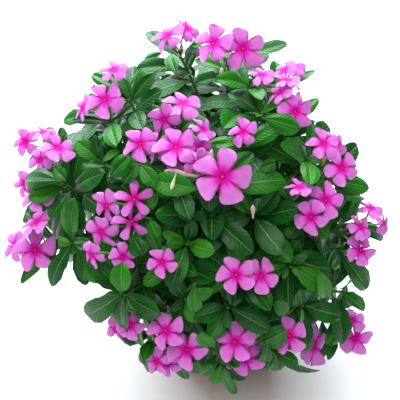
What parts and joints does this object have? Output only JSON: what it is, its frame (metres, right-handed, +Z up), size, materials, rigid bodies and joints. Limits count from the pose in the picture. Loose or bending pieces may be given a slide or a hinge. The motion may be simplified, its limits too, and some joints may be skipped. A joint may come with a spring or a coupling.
{
  "type": "potted madagascar periwinkle",
  "caption": "Round bushy madagascar periwinkle with glossy leaves and clusters of flat five-petalled pink blooms, in a plain tapered clay pot.",
  "frame": {"origin": "middle of the pot's flat underside", "axes": "+Z up along the pot's axis, -Y towards the side that the picture shows"},
  "size_m": [0.4027, 0.3588, 0.3923],
  "materials": {
    "clay": "matte unglazed",
    "potting_mix": "rough, loose, damp",
    "foliage": "glossy, waxy",
    "petals": "soft matte"
  },
  "bodies": {
    "root": {"flower_truss_01": "petals", "flower_truss_02": "petals", "flower_truss_03": "petals", "flower_truss_04": "petals", "flower_truss_05": "petals", "flower_truss_06": "petals", "flower_truss_07": "petals", "flower_truss_08": "petals", "flower_truss_09": "petals", "flower_truss_10": "petals", "flower_truss_11": "petals", "flower_truss_12": "petals", "flower_truss_13": "petals", "flower_truss_14": "petals", "flower_truss_15": "petals", "flower_truss_16": "petals", "flower_truss_17": "petals", "flower_truss_18": "petals", "flower_truss_19": "petals", "flower_truss_20": "petals", "flower_truss_21": "petals", "flower_truss_22": "petals", "flower_truss_23": "petals", "flower_truss_24": "petals", "flower_truss_25": "petals", "flower_truss_26": "petals", "flower_truss_27": "petals", "flower_truss_28": "petals", "flower_truss_29": "petals", "flower_truss_30": "petals", "flower_truss_31": "petals", "flower_truss_32": "petals", "flower_truss_33": "petals", "flower_truss_34": "petals", "flower_truss_35": "petals", "flower_truss_36": "petals", "flower_truss_37": "petals", "flower_truss_38": "petals", "flower_truss_39": "petals", "flower_truss_40": "petals", "flower_truss_41": "petals", "flower_truss_42": "petals", "flower_truss_43": "petals", "flower_truss_44": "petals", "flower_truss_45": "petals", "leafy_stem_01": "foliage", "leafy_stem_02": "foliage", "leafy_stem_03": "foliage", "leafy_stem_04": "foliage", "leafy_stem_05": "foliage", "leafy_stem_06": "foliage", "leafy_stem_07": "foliage", "leafy_stem_08": "foliage", "leafy_stem_09": "foliage", "leafy_stem_10": "foliage", "leafy_stem_11": "foliage", "leafy_stem_12": "foliage", "pot": "clay", "soil": "potting_mix"}
  },
  "joints": []
}
